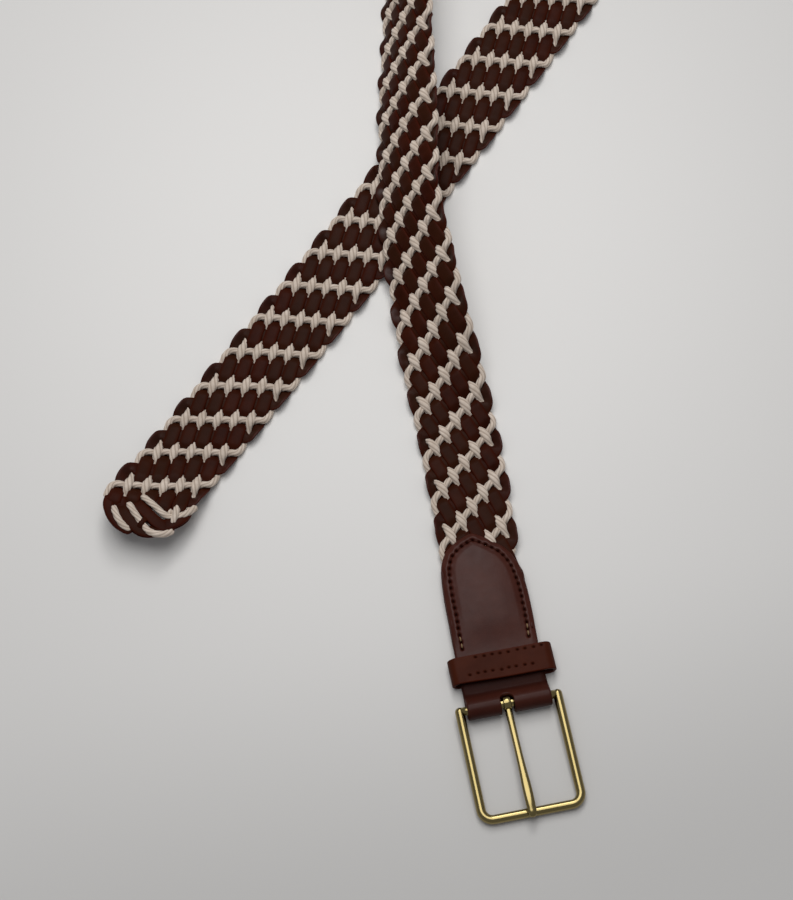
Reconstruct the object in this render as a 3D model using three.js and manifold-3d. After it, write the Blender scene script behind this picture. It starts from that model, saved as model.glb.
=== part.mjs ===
// A belt braided from leather strips and cotton cords, unfastened and lying on a flat surface.
// Millimetres, +Z up. The origin is on that surface, under the middle of the buckle tab. +Y runs from
// the buckle up the strap, and +X is to the strap's right when it is seen from above.

import * as THREE from 'three';
import { mergeVertices } from 'three/addons/utils/BufferGeometryUtils.js';
import Module from 'manifold-3d';

// Driving sizes of the strap
const STRAP_LENGTH = 1002; // from the buckle's bar to the free tip, along the middle
const BAND_WIDTH = 38.4; // at its widest, over the edge strips
const BAND_THICKNESS = 3.9;
const ROW_PITCH = 22.7; // one row of the braid, where it is longest
const SCALLOP_DEPTH = 1.0; // how far the edge dips between two strips
const TIP_RADIUS = 14; // corners of the free tip
const TIP_LIFT = 11; // the free tip curls this far off the surface

// Driving sizes of the leather tab and its keeper
const TAB_WIDTH = 35.4;
const TAB_LENGTH = 77; // from the bar to the tab's point
const POINT_LENGTH = 24.5; // from the tab's shoulder to its point
const LEAF = 1.5; // leather of the tab
const CROWN = 1.0; // how far the padded front stands above its edges
const POCKET_AT = 29.5; // from the bar to the end of the braid inside the tab
const KEEPER_AT = 10.4; // from the bar to the keeper
const KEEPER_LENGTH = 12;
const KEEPER_LEATHER = 1.4;
const KEEPER_REACH = 4.0; // how far each end stands out past the tab
const KEEPER_SLACK = 1.2; // left above the neck

// Driving sizes of the buckle
const WIRE_RADIUS = 1.95;
const BAR_RADIUS = 1.8;
const FRAME_DEPTH = 46; // between the middles of the bar and the far bar
const FRAME_PLAY = 0.95; // from the tab's edge to the frame's side
const CORNER_RADIUS = 4.6; // middle of the wire
const PRONG_WIDTH = 3.2;
const PRONG_THICKNESS = 2.5;
const PRONG_HUMP = 0.9; // rise of the prong just before the far bar
const PRONG_WRAP = 48; // degrees that its end bends down over the far bar
const PRONG_OFFSET = -0.8; // from the tab's middle line
const EYE_WALL = 0.8;
const EYE_COVER = 1.0; // leather over the prong's eye
const SLOT_WIDTH = 5.6;
const SLOT_BACK = 3.6; // from the bar to the back end of the slot
const GAP = 0.3; // between pieces that touch

// Facets of the round surfaces
const LEATHER_SIDES = 24;
const EYE_SIDES = 20;
const BAR_SIDES = 16;
const WIRE_SIDES = 12;

// Sizes that follow
const EYE_RADIUS = BAR_RADIUS + GAP + EYE_WALL;
const ROLL_RADIUS = EYE_RADIUS + GAP + EYE_COVER;
const NECK_UNDER = KEEPER_LEATHER + GAP;
const NECK_TOP = NECK_UNDER + 2 * LEAF;
const KEEPER_HEIGHT = NECK_TOP + KEEPER_SLACK + KEEPER_LEATHER;
const OVER_TAIL = BAND_THICKNESS + 2 * GAP;
const SQUEEZE = 0.8; // the braid's thickness inside the tab, as a share of the whole
const POCKET_TOP = LEAF + 2 * GAP + SQUEEZE * BAND_THICKNESS;
const BAR_Y = -TAB_LENGTH / 2;
const FAR_Y = BAR_Y - FRAME_DEPTH;
const SIDE_X = TAB_WIDTH / 2 + FRAME_PLAY + WIRE_RADIUS;

// Where the strap heads, in degrees from +X, at shares of its length. It eases from row to row.
const BENDS = [
  { along: 0, heading: 90 },
  { along: 0.07, heading: 85.9 },
  { along: 0.16, heading: 90.8 },
  { along: 0.265, heading: 80.2 },
  { along: 0.397, heading: 77.5 },
  { along: 0.643, heading: -134.4 },
  { along: 1, heading: -136.9 },
];

// How the strap lies: roll turns its right edge up, cup hollows it, both in degrees, lift is the height
// of its lowest edge above the surface, and shift moves its middle to the right.
const LIE = [
  { along: 0.077, roll: 0, cup: 0, lift: LEAF + GAP, shift: 0 },
  { along: 0.125, roll: 0, cup: 0, lift: 0, shift: 0 },
  { along: 0.2, roll: 33, cup: 8, lift: OVER_TAIL, shift: -1 },
  { along: 0.24, roll: 42, cup: 12, lift: OVER_TAIL, shift: -3 },
  { along: 0.275, roll: 42, cup: 36, lift: OVER_TAIL, shift: -3.1 },
  { along: 0.345, roll: 52, cup: 24, lift: 0, shift: -2.2 },
  { along: 0.44, roll: 86, cup: 0, lift: 0, shift: 0 },
  { along: 0.56, roll: 86, cup: 0, lift: 0, shift: 0 },
  { along: 0.67, roll: 0, cup: 0, lift: 0, shift: 0 },
  { along: 0.947, roll: 0, cup: 0, lift: 0, shift: 0 },
  { along: 1, roll: 0, cup: 0, lift: TIP_LIFT, shift: -1.6 },
];

// The braid's own shape: width, thickness and row pitch as shares of the driving sizes.
const BRAID = [
  { along: 0.029, width: 0.87, thickness: SQUEEZE, pitch: 0.913 },
  { along: 0.077, width: 0.9, thickness: SQUEEZE, pitch: 1 },
  { along: 0.11, width: 0.935, thickness: 1, pitch: 0.916 },
  { along: 0.2, width: 0.95, thickness: 1, pitch: 0.913 },
  { along: 0.3, width: 0.965, thickness: 1, pitch: 0.915 },
  { along: 0.67, width: 1, thickness: 1, pitch: 0.971 },
  { along: 0.9, width: 0.975, thickness: 1, pitch: 0.894 },
  { along: 1, width: 0.94, thickness: 1, pitch: 0.936 },
];

// The band's section, as shares of half its width and half its thickness.
const SECTION = [
  { out: -1, up: 0 },
  { out: -0.95, up: 0.7 },
  { out: -0.82, up: 1 },
  { out: 0.82, up: 1 },
  { out: 0.95, up: 0.7 },
  { out: 1, up: 0 },
  { out: 0.95, up: -0.7 },
  { out: 0.82, up: -1 },
  { out: -0.82, up: -1 },
  { out: -0.95, up: -0.7 },
];

const ease = (t) => t * t * (3 - 2 * t);

// The value of one column of a table at a share of the strap's length.
function read(table, column, along) {
  let value = table[0][column];
  for (let i = 1; i < table.length; i += 1) {
    const from = table[i - 1];
    const to = table[i];
    const t = THREE.MathUtils.clamp((along - from.along) / (to.along - from.along), 0, 1);
    value += (to[column] - from[column]) * ease(t);
  }
  return value;
}

// The strap's middle line in plan, stepped along its headings.
const ROUTE_STEPS = 1200;
const route = [];
{
  const step = STRAP_LENGTH / ROUTE_STEPS;
  let x = 0;
  let y = BAR_Y;
  for (let i = 0; i <= ROUTE_STEPS; i += 1) {
    route.push(new THREE.Vector2(x, y));
    const heading = THREE.MathUtils.degToRad(read(BENDS, 'heading', (i + 0.5) / ROUTE_STEPS));
    x += Math.cos(heading) * step;
    y += Math.sin(heading) * step;
  }
}

// A point beside the middle line: distance along the strap, distance to its right, and height.
function beside(distance, right, height) {
  const along = distance / STRAP_LENGTH;
  const place = along * ROUTE_STEPS;
  const index = Math.min(Math.floor(place), ROUTE_STEPS - 1);
  const middle = route[index].clone().lerp(route[index + 1], place - index);
  const heading = THREE.MathUtils.degToRad(read(BENDS, 'heading', along));
  return new THREE.Vector3(
    middle.x + right * Math.sin(heading),
    middle.y - right * Math.cos(heading),
    height,
  );
}

// A closed body through rings of equally many points, capped at both ends, with its faces outward.
function loft(rings) {
  const count = rings[0].length;
  const positions = rings.flat().flatMap((point) => point.toArray());
  const triangles = [];
  for (let i = 0; i + 1 < rings.length; i += 1) {
    for (let j = 0; j < count; j += 1) {
      const a = i * count + j;
      const b = i * count + ((j + 1) % count);
      triangles.push([a, b, b + count], [a, b + count, a + count]);
    }
  }
  const last = (rings.length - 1) * count;
  for (let j = 1; j + 1 < count; j += 1) {
    triangles.push([0, j + 1, j], [last, last + j, last + j + 1]);
  }
  const corner = (index) => new THREE.Vector3().fromArray(positions, index * 3);
  const volume = triangles.reduce(
    (sum, [a, b, c]) => sum + corner(a).dot(corner(b).cross(corner(c))),
    0,
  );
  const faces = volume > 0 ? triangles : triangles.map(([a, b, c]) => [a, c, b]);
  const geometry = new THREE.BufferGeometry();
  geometry.setAttribute('position', new THREE.Float32BufferAttribute(positions, 3));
  geometry.setIndex(faces.flat());
  return geometry;
}

const wasm = await Module();
wasm.setup();

const WELD = 1e-5; // vertices closer than this are one

function welded(geometry) {
  const bare = geometry.clone();
  bare.deleteAttribute('normal');
  bare.deleteAttribute('uv');
  return mergeVertices(bare, WELD);
}

function solid(geometry) {
  const merged = welded(geometry);
  return new wasm.Manifold(new wasm.Mesh({
    numProp: 3,
    vertProperties: new Float32Array(merged.attributes.position.array),
    triVerts: new Uint32Array(merged.index.array),
  }));
}

function geometryOf(manifold) {
  const mesh = manifold.getMesh();
  const geometry = new THREE.BufferGeometry();
  geometry.setAttribute('position', new THREE.BufferAttribute(mesh.vertProperties, 3));
  geometry.setIndex(new THREE.BufferAttribute(mesh.triVerts, 1));
  return geometry;
}

// A round bar along X about the buckle's axis.
function rod(radius, length, middle, sides) {
  const geometry = new THREE.CylinderGeometry(radius, radius, length, sides);
  geometry.rotateZ(Math.PI / 2);
  geometry.translate(middle, BAR_Y, ROLL_RADIUS);
  return solid(geometry);
}

// The braid as one solid, with a strip and a cord showing at each edge of every row.
const STATIONS_PER_ROW = 4;
const EDGE = [0, 1, 0.4, 1]; // dip at each station of a row, as a share of SCALLOP_DEPTH
const EDGE_POINTS = 0.9; // points of the section past this share follow the edge's dips
const TIP_RINGS = [0.97, 0.7, 0.45, 0.25, 0.1, 0]; // before the end, as shares of TIP_RADIUS

function bandRing(distance, station) {
  const along = distance / STRAP_LENGTH;
  const thickness = read(BRAID, 'thickness', along) * BAND_THICKNESS;
  const roll = THREE.MathUtils.degToRad(read(LIE, 'roll', along));
  const cup = THREE.MathUtils.degToRad(read(LIE, 'cup', along));
  const past = Math.max(distance - (STRAP_LENGTH - TIP_RADIUS), 0);
  const round = TIP_RADIUS - Math.sqrt(TIP_RADIUS ** 2 - past ** 2);
  const half = (read(BRAID, 'width', along) * BAND_WIDTH) / 2 - round;
  const points = SECTION.map(({ out, up }) => {
    const phase = out > 0 ? station : station + STATIONS_PER_ROW / 2;
    const dip = Math.abs(out) > EDGE_POINTS ? EDGE[phase % STATIONS_PER_ROW] * SCALLOP_DEPTH : 0;
    const across = out * (half - dip);
    const turn = roll - (cup * across) / BAND_WIDTH;
    const lean = (roll + turn) / 2;
    return {
      right: across * Math.cos(lean) - (up * thickness * Math.sin(turn)) / 2,
      height: across * Math.sin(lean) + (up * thickness * Math.cos(turn)) / 2,
    };
  });
  const lowest = Math.min(...points.map(({ height }) => height));
  const lift = read(LIE, 'lift', along) - lowest;
  const shift = read(LIE, 'shift', along);
  return points.map(({ right, height }) => beside(distance, right + shift, height + lift));
}

function bandGeometry() {
  const rings = [];
  let distance = POCKET_AT + GAP;
  let station = 0;
  while (distance < STRAP_LENGTH - TIP_RADIUS) {
    rings.push(bandRing(distance, station));
    distance += (read(BRAID, 'pitch', distance / STRAP_LENGTH) * ROW_PITCH) / STATIONS_PER_ROW;
    station += 1;
  }
  for (const share of TIP_RINGS) {
    rings.push(bandRing(STRAP_LENGTH - share * TIP_RADIUS, 0));
  }
  return loft(rings);
}

// The tab's upper side, as shares of half its width and of the padding's rise above its edges.
const PADDING = [
  { out: 1, rise: 0 },
  { out: 0.8, rise: 0.5 },
  { out: 0.45, rise: 1 },
  { out: -0.45, rise: 1 },
  { out: -0.8, rise: 0.5 },
  { out: -1, rise: 0 },
];
const POINT_RINGS = [0.2, 0.4, 0.55, 0.7, 0.82, 0.91, 0.98]; // past the shoulder, as shares of POINT_LENGTH

// Half the tab's width at a distance from the bar: its sides run straight and then arch to the point.
function tabHalfWidth(distance) {
  const past = distance - (TAB_LENGTH - POINT_LENGTH);
  const half = TAB_WIDTH / 2;
  const arch = (half ** 2 + POINT_LENGTH ** 2) / (2 * half);
  return past > 0 ? Math.sqrt(arch ** 2 - past ** 2) - (arch - half) : half;
}

function tabRing({ at, under, edge, crown }) {
  const half = tabHalfWidth(at);
  const underside = [beside(at, -half, under), beside(at, half, under)];
  const front = PADDING.map(({ out, rise }) => beside(at, out * half, edge + (crown - edge) * rise));
  return [...underside, ...front];
}

// The leather tab: rings along the strap, joined to the roll round the bar, then hollowed.
function tabGeometry() {
  const edge = POCKET_TOP + LEAF - CROWN / 2;
  const shoulder = TAB_LENGTH - POINT_LENGTH;
  const neck = { under: NECK_UNDER, edge: NECK_TOP, crown: NECK_TOP };
  const padded = { under: 0, edge, crown: edge + CROWN };
  const rows = [
    { at: 0, under: 0, edge: 2 * ROLL_RADIUS, crown: 2 * ROLL_RADIUS },
    { at: KEEPER_AT - 2 * LEAF, ...neck },
    { at: KEEPER_AT + KEEPER_LENGTH + LEAF, ...neck },
    { at: POCKET_AT - GAP, under: 0, edge, crown: edge },
    { at: POCKET_AT + 3 * LEAF, ...padded },
    { at: shoulder, ...padded },
  ];
  for (const share of POINT_RINGS) {
    rows.push({ at: shoulder + share * POINT_LENGTH, under: 0, edge, crown: edge + CROWN * (1 - share) });
  }
  const roll = rod(ROLL_RADIUS, TAB_WIDTH, 0, LEATHER_SIDES);
  const leaves = solid(loft(rows.map(tabRing)));
  const bore = rod(BAR_RADIUS + GAP, 2 * TAB_WIDTH, 0, LEATHER_SIDES);
  const eyeRoom = rod(EYE_RADIUS + GAP, SLOT_WIDTH, PRONG_OFFSET, LEATHER_SIDES);
  return geometryOf(
    roll.add(leaves).subtract(pocket(shoulder)).subtract(bore).subtract(eyeRoom).subtract(slot()),
  );
}

// The room between the tab's leaves that holds the end of the braid, open at both sides and the point.
function pocket(shoulder) {
  const rings = [POCKET_AT, shoulder, TAB_LENGTH + LEAF].map((at) => [
    beside(at, -TAB_WIDTH, LEAF),
    beside(at, TAB_WIDTH, LEAF),
    beside(at, TAB_WIDTH, POCKET_TOP),
    beside(at, -TAB_WIDTH, POCKET_TOP),
  ]);
  return solid(loft(rings));
}

// The prong's slot, from in front of the fold to its round end behind the bar.
function slot() {
  const radius = SLOT_WIDTH / 2;
  const middle = SLOT_BACK - radius;
  const outline = new THREE.Shape();
  outline.moveTo(-radius, -2 * ROLL_RADIUS);
  outline.lineTo(radius, -2 * ROLL_RADIUS);
  outline.lineTo(radius, middle);
  outline.absarc(0, middle, radius, 0, Math.PI, false);
  outline.closePath();
  const geometry = new THREE.ExtrudeGeometry(
    outline,
    { depth: 4 * ROLL_RADIUS, bevelEnabled: false, curveSegments: 6 },
  );
  geometry.translate(PRONG_OFFSET, BAR_Y, -ROLL_RADIUS);
  return solid(geometry);
}

// The keeper: a leather loop lying flattened round the tab's neck.
function stadium(halfWidth, low, high) {
  const radius = (high - low) / 2;
  const middle = (high + low) / 2;
  const outline = new THREE.Shape();
  outline.absarc(halfWidth - radius, middle, radius, -Math.PI / 2, Math.PI / 2, false);
  outline.absarc(-halfWidth + radius, middle, radius, Math.PI / 2, (3 * Math.PI) / 2, false);
  outline.closePath();
  return outline;
}

function keeperGeometry() {
  const half = TAB_WIDTH / 2 + KEEPER_REACH;
  const outline = stadium(half, 0, KEEPER_HEIGHT);
  outline.holes.push(stadium(half - KEEPER_LEATHER, KEEPER_LEATHER, KEEPER_HEIGHT - KEEPER_LEATHER));
  const geometry = new THREE.ExtrudeGeometry(
    outline,
    { depth: KEEPER_LENGTH, bevelEnabled: false, curveSegments: 8 },
  );
  geometry.rotateX(Math.PI / 2);
  geometry.translate(0, BAR_Y + KEEPER_AT + KEEPER_LENGTH, 0);
  return welded(geometry);
}

// The buckle's frame: a wire bent round three sides, and the bar soldered across its open side.
const TILT = Math.atan2(ROLL_RADIUS - WIRE_RADIUS, FRAME_DEPTH);
const ARM_END_RINGS = [75, 45, 0]; // degrees round the domed end of each arm
const CORNER_STEPS = 5;

function frameGeometry() {
  const up = new THREE.Vector3(0, -Math.sin(TILT), Math.cos(TILT));
  const sideways = new THREE.Vector3(1, 0, 0);
  const back = new THREE.Vector3(0, Math.cos(TILT), Math.sin(TILT));
  const depth = Math.hypot(FRAME_DEPTH, ROLL_RADIUS - WIRE_RADIUS);
  const ring = (right, behind, turn, radius) => {
    const outward = sideways.clone().multiplyScalar(Math.cos(turn)).addScaledVector(back, Math.sin(turn));
    const middle = new THREE.Vector3(0, FAR_Y, WIRE_RADIUS)
      .addScaledVector(sideways, right)
      .addScaledVector(back, behind);
    return Array.from({ length: WIRE_SIDES }, (_, k) => {
      const angle = (2 * Math.PI * k) / WIRE_SIDES;
      return middle.clone()
        .addScaledVector(outward, radius * Math.cos(angle))
        .addScaledVector(up, radius * Math.sin(angle));
    });
  };
  const armEnd = (right, turn) => ARM_END_RINGS.map((degrees) => {
    const angle = THREE.MathUtils.degToRad(degrees);
    return ring(right, depth + WIRE_RADIUS * Math.sin(angle), turn, WIRE_RADIUS * Math.cos(angle));
  });
  const corner = (middle, firstTurn) => Array.from({ length: CORNER_STEPS + 1 }, (_, k) => {
    const turn = firstTurn - (Math.PI / 2) * (k / CORNER_STEPS);
    return ring(
      middle + CORNER_RADIUS * Math.cos(turn),
      CORNER_RADIUS + CORNER_RADIUS * Math.sin(turn),
      turn,
      WIRE_RADIUS,
    );
  });
  const cornerX = SIDE_X - CORNER_RADIUS;
  const wire = loft([
    ...armEnd(SIDE_X, 0),
    ...corner(cornerX, 0),
    ...corner(-cornerX, -Math.PI / 2),
    ...armEnd(-SIDE_X, -Math.PI).reverse(),
  ]);
  return geometryOf(solid(wire).add(rod(BAR_RADIUS, 2 * SIDE_X, 0, BAR_SIDES)));
}

// The prong: its eye turns on the bar, and its end rests on the far bar and bends down over it.
const SHANK = [
  { reach: 0.03, hump: 0, width: 1 },
  { reach: 0.12, hump: 0.15, width: 1 },
  { reach: 0.5, hump: 0.6, width: 0.95 },
  { reach: 0.77, hump: 1, width: 1.2 },
  { reach: 0.9, hump: 0.8, width: 1.2 },
];
const PRONG_END = [
  { wrap: 0, width: 1.15 },
  { wrap: 1 / 3, width: 1.1 },
  { wrap: 2 / 3, width: 1.05 },
  { wrap: 1, width: 1 },
];
const PRONG_SECTION = [
  { out: 1, up: 0.45 },
  { out: 0.65, up: 1 },
  { out: -0.65, up: 1 },
  { out: -1, up: 0.45 },
  { out: -1, up: -0.45 },
  { out: -0.65, up: -1 },
  { out: 0.65, up: -1 },
  { out: 1, up: -0.45 },
];

function prongGeometry() {
  const seat = 2 * WIRE_RADIUS + GAP + PRONG_THICKNESS / 2;
  const rows = SHANK.map(({ reach, hump, width }) => ({
    y: BAR_Y - reach * FRAME_DEPTH,
    z: ROLL_RADIUS + (seat - ROLL_RADIUS) * reach + hump * PRONG_HUMP,
    width,
  }));
  for (const { wrap, width } of PRONG_END) {
    const angle = THREE.MathUtils.degToRad(PRONG_WRAP * wrap);
    const radius = seat - WIRE_RADIUS;
    rows.push({
      y: FAR_Y - radius * Math.sin(angle),
      z: WIRE_RADIUS + radius * Math.cos(angle),
      width,
    });
  }
  const rings = rows.map(({ y, z, width }, i) => {
    const before = rows[Math.max(i - 1, 0)];
    const after = rows[Math.min(i + 1, rows.length - 1)];
    const slope = Math.atan2(after.z - before.z, before.y - after.y);
    return PRONG_SECTION.map(({ out, up }) => {
      const right = PRONG_OFFSET + (out * width * PRONG_WIDTH) / 2;
      const rise = (up * PRONG_THICKNESS) / 2;
      return new THREE.Vector3(right, y + rise * Math.sin(slope), z + rise * Math.cos(slope));
    });
  });
  const eye = rod(EYE_RADIUS, PRONG_WIDTH, PRONG_OFFSET, EYE_SIDES);
  const bore = rod(BAR_RADIUS + GAP, 2 * PRONG_WIDTH, PRONG_OFFSET, EYE_SIDES);
  return geometryOf(eye.add(solid(loft(rings))).subtract(bore));
}

const belt = new THREE.Group();

function addPiece(name, geometry, { color, roughness, metalness = 0 }) {
  const mesh = new THREE.Mesh(geometry, new THREE.MeshStandardMaterial({ color, roughness, metalness }));
  mesh.name = name;
  belt.add(mesh);
}

const leather = { color: 0x4a2a22, roughness: 0.45 };
const braid = { color: 0x5a4238, roughness: 0.7 };
const brass = { color: 0xc9b070, roughness: 0.2, metalness: 1 };

addPiece('braided_band', bandGeometry(), braid);
addPiece('buckle_tab', tabGeometry(), leather);
addPiece('keeper', keeperGeometry(), leather);
addPiece('buckle_frame', frameGeometry(), brass);
addPiece('prong', prongGeometry(), brass);

export default belt;
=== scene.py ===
"""A braided belt of leather strips and cotton cords, unfastened on a pale surface. Lengths are in millimetres
until a mesh is made. +Z is up, and +Y runs from the buckle up the strap."""

import math

import bpy
import numpy as np
from mathutils import Matrix, Vector


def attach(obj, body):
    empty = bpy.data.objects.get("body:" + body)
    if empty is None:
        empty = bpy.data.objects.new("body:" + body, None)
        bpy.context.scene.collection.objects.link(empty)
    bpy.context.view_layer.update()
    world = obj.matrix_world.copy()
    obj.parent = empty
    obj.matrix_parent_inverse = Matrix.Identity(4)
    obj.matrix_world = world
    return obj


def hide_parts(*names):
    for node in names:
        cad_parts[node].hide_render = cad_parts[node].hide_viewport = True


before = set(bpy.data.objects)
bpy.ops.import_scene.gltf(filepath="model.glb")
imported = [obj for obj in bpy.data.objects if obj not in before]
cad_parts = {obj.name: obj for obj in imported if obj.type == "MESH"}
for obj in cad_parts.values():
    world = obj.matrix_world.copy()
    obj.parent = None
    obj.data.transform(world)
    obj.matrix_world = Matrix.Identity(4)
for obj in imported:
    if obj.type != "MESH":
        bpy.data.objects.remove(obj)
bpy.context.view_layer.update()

MM = 0.001
rng = np.random.default_rng(7)

# ---- Sizes shared with the solids ----
STRAP_LENGTH = 1002.0
BAND_WIDTH = 38.4
BAND_THICKNESS = 3.9
ROW_PITCH = 22.7
TIP_LIFT = 11.0
TAB_LENGTH = 77.0
LEAF = 1.5
POCKET_AT = 29.5
KEEPER_AT = 10.4
KEEPER_LENGTH = 12.0
KEEPER_LEATHER = 1.4
KEEPER_HEIGHT = 7.3
KEEPER_HALF = 21.7
WIRE_RADIUS = 1.95
BAR_RADIUS = 1.8
FRAME_DEPTH = 46.0
CORNER_RADIUS = 4.6
SIDE_X = 20.6
ROLL_RADIUS = 4.2
NECK_UNDER = 1.7  # underside of the neck, where the keeper lies round it
NECK_TOP = 4.7
BAR_Y = -TAB_LENGTH / 2
FAR_Y = BAR_Y - FRAME_DEPTH
CLEAR = 0.03  # between the surface and what lies on it

BENDS = [  # share of the strap, heading in degrees from +X
    (0, 90), (0.07, 85.9), (0.16, 90.8), (0.265, 80.2), (0.397, 77.5), (0.643, -134.4), (1, -136.9),
]
ROLL, CUP, LIFT, SHIFT = 1, 2, 3, 4
LIE = [  # share of the strap, roll, cup, lift, shift to the right
    (0.077, 0, 0, 1.8, 0), (0.125, 0, 0, 0, 0), (0.2, 33, 8, 4.5, -1), (0.24, 42, 12, 4.5, -3),
    (0.275, 42, 36, 4.5, -3.1), (0.345, 52, 24, 0, -2.2), (0.44, 86, 0, 0, 0), (0.56, 86, 0, 0, 0),
    (0.67, 0, 0, 0, 0), (0.947, 0, 0, 0, 0), (1, 0, 0, TIP_LIFT, -1.6),
]
WIDTH, THICKNESS, PITCH = 1, 2, 3
BRAID = [  # share of the strap, width, thickness, row pitch
    (0.029, 0.87, 0.8, 0.913), (0.077, 0.9, 0.8, 1), (0.11, 0.935, 1, 0.916), (0.2, 0.95, 1, 0.913),
    (0.3, 0.965, 1, 0.915), (0.67, 1, 1, 0.971), (0.9, 0.975, 1, 0.894), (1, 0.94, 1, 0.936),
]
LEAN = [  # share of the strap, how far the rows' right ends run ahead in rows
    (0.1, 0.03), (0.4, 0.03), (0.66, -0.35), (0.76, -0.35), (0.87, -0.27), (0.955, -0.13),
]
DRIFT = [(0.955, 0), (0.975, -0.1)]  # share of the strap, how far the middle strands lie to the left
SECTION_INSET = 0.4  # from the band's side to the side of its section
SECTION = [  # the section's corners, in shares of half the width and half the thickness
    (-1, 0), (-0.95, -0.7), (-0.82, -1), (-0.4, -1), (0, -1), (0.4, -1), (0.82, -1), (1, 0),
]
LEAST_HEIGHT = 0.02


def ease(t):
    return t * t * (3 - 2 * t)


def read(table, column, along):
    """One column of a table at shares of the strap's length, eased from row to row."""
    along = np.asarray(along, float)
    value = np.full(along.shape, float(table[0][column]))
    for start, end in zip(table, table[1:]):
        t = np.clip((along - start[0]) / (end[0] - start[0]), 0, 1)
        value += (end[column] - start[column]) * ease(t)
    return value


# ---- The strap's flat space (along, across, up) and where it lies ----
STEPS = 1200
step_length = STRAP_LENGTH / STEPS
turns = np.radians(read(BENDS, 1, (np.arange(STEPS + 40) + 0.5) / STEPS))
route_x = np.concatenate([[0], np.cumsum(np.cos(turns) * step_length)])
route_y = BAR_Y + np.concatenate([[0], np.cumsum(np.sin(turns) * step_length)])
route_s = np.arange(len(route_x)) * step_length


def lowest_of(along):
    """How far the lowest edge of the band's section reaches below its middle."""
    half = read(BRAID, WIDTH, along) * BAND_WIDTH / 2 - SECTION_INSET
    thick = read(BRAID, THICKNESS, along) * BAND_THICKNESS / 2
    roll = np.radians(read(LIE, ROLL, along))
    cup = np.radians(read(LIE, CUP, along))
    low = np.full(np.shape(along), np.inf)
    for out, up in SECTION:
        across = out * half
        turn = roll - cup * across / BAND_WIDTH
        lean = (roll + turn) / 2
        low = np.minimum(low, across * np.sin(lean) + up * thick * np.cos(turn))
    return low


TABLE_S = np.arange(0, STRAP_LENGTH + 30, 1.0)
table_rise = read(LIE, LIFT, TABLE_S / STRAP_LENGTH) - lowest_of(TABLE_S / STRAP_LENGTH)


def lay(flat):
    """Points of the strap's flat space (..., along/across/up) to where they lie."""
    s, across, up = flat[..., 0], flat[..., 1], flat[..., 2]
    along = s / STRAP_LENGTH
    roll = np.radians(read(LIE, ROLL, along))
    cup = np.radians(read(LIE, CUP, along))
    turn = roll - cup * across / BAND_WIDTH
    lean = (roll + turn) / 2
    right = across * np.cos(lean) - up * np.sin(turn)
    height = across * np.sin(lean) + up * np.cos(turn) + np.interp(s, TABLE_S, table_rise)
    right = right + read(LIE, SHIFT, along)
    heading = np.radians(read(BENDS, 1, along))
    x = np.interp(s, route_s, route_x) + right * np.sin(heading)
    y = np.interp(s, route_s, route_y) - right * np.cos(heading)
    return np.stack([x, y, np.maximum(height, LEAST_HEIGHT)], -1)


def beside(s, across, height):
    """Points beside the strap's middle line at heights above the surface, also in front of the bar."""
    heading = np.radians(read(BENDS, 1, s / STRAP_LENGTH))
    x = np.interp(s, route_s, route_x) + across * np.sin(heading)
    y = np.interp(s, route_s, route_y) + np.minimum(s, 0) - across * np.cos(heading)
    return np.stack(np.broadcast_arrays(x, y, height), -1)


# ---- Mesh making ----
def travel_along(points):
    """How far along their line points lie."""
    return np.concatenate([[0], np.cumsum(np.linalg.norm(np.diff(points, axis=0), axis=1))])


def smooth_path(points, spacing):
    """A smooth curve through points, resampled evenly."""
    points = np.asarray(points, float)
    ends = np.vstack([2 * points[0] - points[1], points, 2 * points[-1] - points[-2]])
    t = np.linspace(0, 1, 40, endpoint=False)[:, None]
    spans = []
    for a, b, c, d in zip(ends, ends[1:], ends[2:], ends[3:]):
        square, cube = 2 * a - 5 * b + 4 * c - d, 3 * b - a - 3 * c + d
        spans.append((2 * b + (c - a) * t + square * t**2 + cube * t**3) / 2)
    dense = np.vstack([*spans, points[-1:]])
    travel = travel_along(dense)
    even = np.linspace(0, travel[-1], max(2, int(round(travel[-1] / spacing)) + 1))
    return np.stack([np.interp(even, travel, dense[:, k]) for k in range(points.shape[1])], -1)


def step(low, high, value):
    """From 0 at low to 1 at high, eased."""
    return ease(np.clip((value - low) / (high - low), 0, 1))


def sweep_faces(rings, count, closed=False):
    """Quads between rings of points that each close on themselves."""
    last = rings if closed else rings - 1
    i = np.arange(last)[:, None] * count
    j = np.arange(count)[None, :]
    k = (j + 1) % count
    following = (i + count) % (rings * count)
    return np.stack([i + j, i + k, following + k, following + j], -1).reshape(-1, 4)


def make(name, points, quads, polygons=(), fields=None, material=None):
    """A mesh object from points in millimetres, with its faces outward and its fields as attributes."""
    points = np.asarray(points, float).reshape(-1, 3)
    quads = np.asarray(quads, int).reshape(-1, 4)
    a, b, c, d = (points[quads[:, n]] for n in range(4))
    volume = np.einsum("ij,ij->", a, np.cross(b, c)) + np.einsum("ij,ij->", a, np.cross(c, d))
    polygons = [list(p) for p in polygons]
    for p in polygons:
        for m in range(1, len(p) - 1):
            volume += points[p[0]] @ np.cross(points[p[m]], points[p[m + 1]])
    faces = quads.tolist() + polygons
    if volume < 0:
        faces = [f[::-1] for f in faces]
    mesh = bpy.data.meshes.new(name)
    mesh.from_pydata((points * MM).tolist(), [], faces)
    for key, values in (fields or {}).items():
        layer = mesh.attributes.new(key, "FLOAT", "POINT")
        layer.data.foreach_set("value", np.asarray(values, np.float32).ravel())
    mesh.polygons.foreach_set("use_smooth", np.full(len(mesh.polygons), True))
    mesh.update()
    thing = bpy.data.objects.new(name, mesh)
    bpy.context.scene.collection.objects.link(thing)
    if material:
        mesh.materials.append(material)
    return thing


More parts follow.
